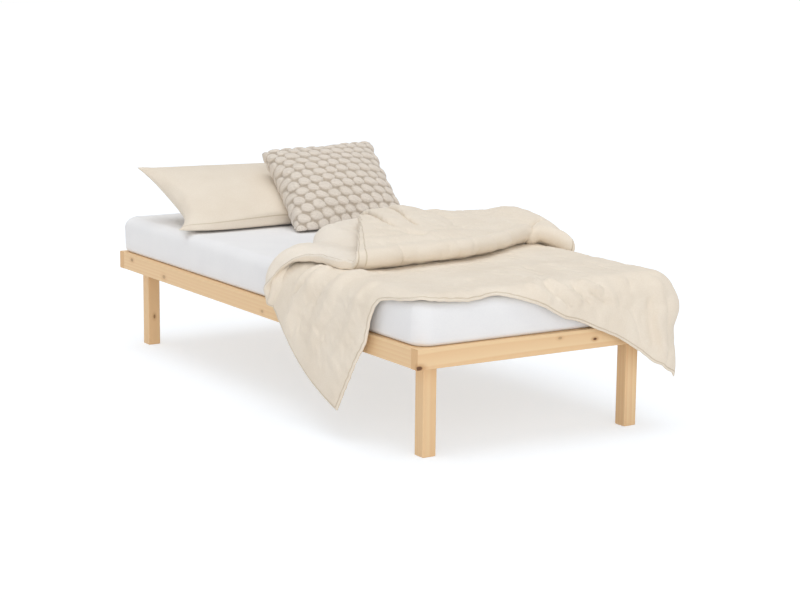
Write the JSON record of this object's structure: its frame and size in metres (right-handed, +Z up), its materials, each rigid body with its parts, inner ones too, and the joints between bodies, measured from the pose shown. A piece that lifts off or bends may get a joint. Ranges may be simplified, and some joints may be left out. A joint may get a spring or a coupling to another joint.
{
  "type": "single bed",
  "caption": "Plain pine single bed on square inset legs with a slatted base, white-sheeted mattress, cream pillow, beige bubble-knit cushion and a cream duvet thrown over the foot end.",
  "frame": {"origin": "middle of the bed frame on the floor", "axes": "+Y along the bed to the head end, +X to the right seen from the foot end, +Z up"},
  "size_m": [1.0175, 2.0413, 0.7444],
  "materials": {
    "pine": "satin, clear oiled",
    "beech": "plain",
    "steel": "zinc plated",
    "ticking": "matt",
    "sheet": "matt jersey",
    "pillow_cotton": "matt cotton",
    "filling": "matt",
    "knit": "matt knit",
    "duvet_cotton": "matt cotton"
  },
  "bodies": {
    "frame": {"side_rail_left": "pine", "side_rail_right": "pine", "foot_rail": "pine", "head_rail": "pine", "leg_foot_left": "pine", "leg_foot_right": "pine", "leg_head_left": "pine", "leg_head_right": "pine", "slat_ledge_left": "pine", "slat_ledge_right": "pine", "foot_cleat": "pine", "head_cleat": "pine", "slat_01": "pine", "slat_02": "pine", "slat_03": "pine", "slat_04": "pine", "slat_05": "pine", "slat_06": "pine", "slat_07": "pine", "slat_08": "pine", "slat_09": "pine", "slat_10": "pine", "slat_11": "pine", "slat_12": "pine", "slat_13": "pine", "leg_bolts": "steel", "insert_nuts": "steel", "corner_dowels": "beech", "slat_screws": "steel", "ledge_screws": "steel", "cleat_screws": "steel"},
    "mattress": {"mattress": "ticking", "fitted_sheet": "sheet"},
    "pillow": {"pillowcase": "pillow_cotton", "pillow_insert": "filling"},
    "cushion": {"cushion_cover": "knit", "cushion_insert": "filling"},
    "duvet": {"duvet": "duvet_cotton"}
  },
  "joints": [
    {"name": "mattress_lift", "type": "slide", "parent": "frame", "child": "mattress", "axis": [0, 0, 1], "range_m": [0, 0.35]},
    {"name": "pillow_lift", "type": "slide", "parent": "mattress", "child": "pillow", "axis": [0, 0, 1], "range_m": [0, 0.3]},
    {"name": "cushion_lift", "type": "slide", "parent": "pillow", "child": "cushion", "axis": [0, 0, 1], "range_m": [0, 0.3]},
    {"name": "duvet_lift", "type": "slide", "parent": "mattress", "child": "duvet", "axis": [0, 0, 1], "range_m": [0, 0.45]}
  ]
}
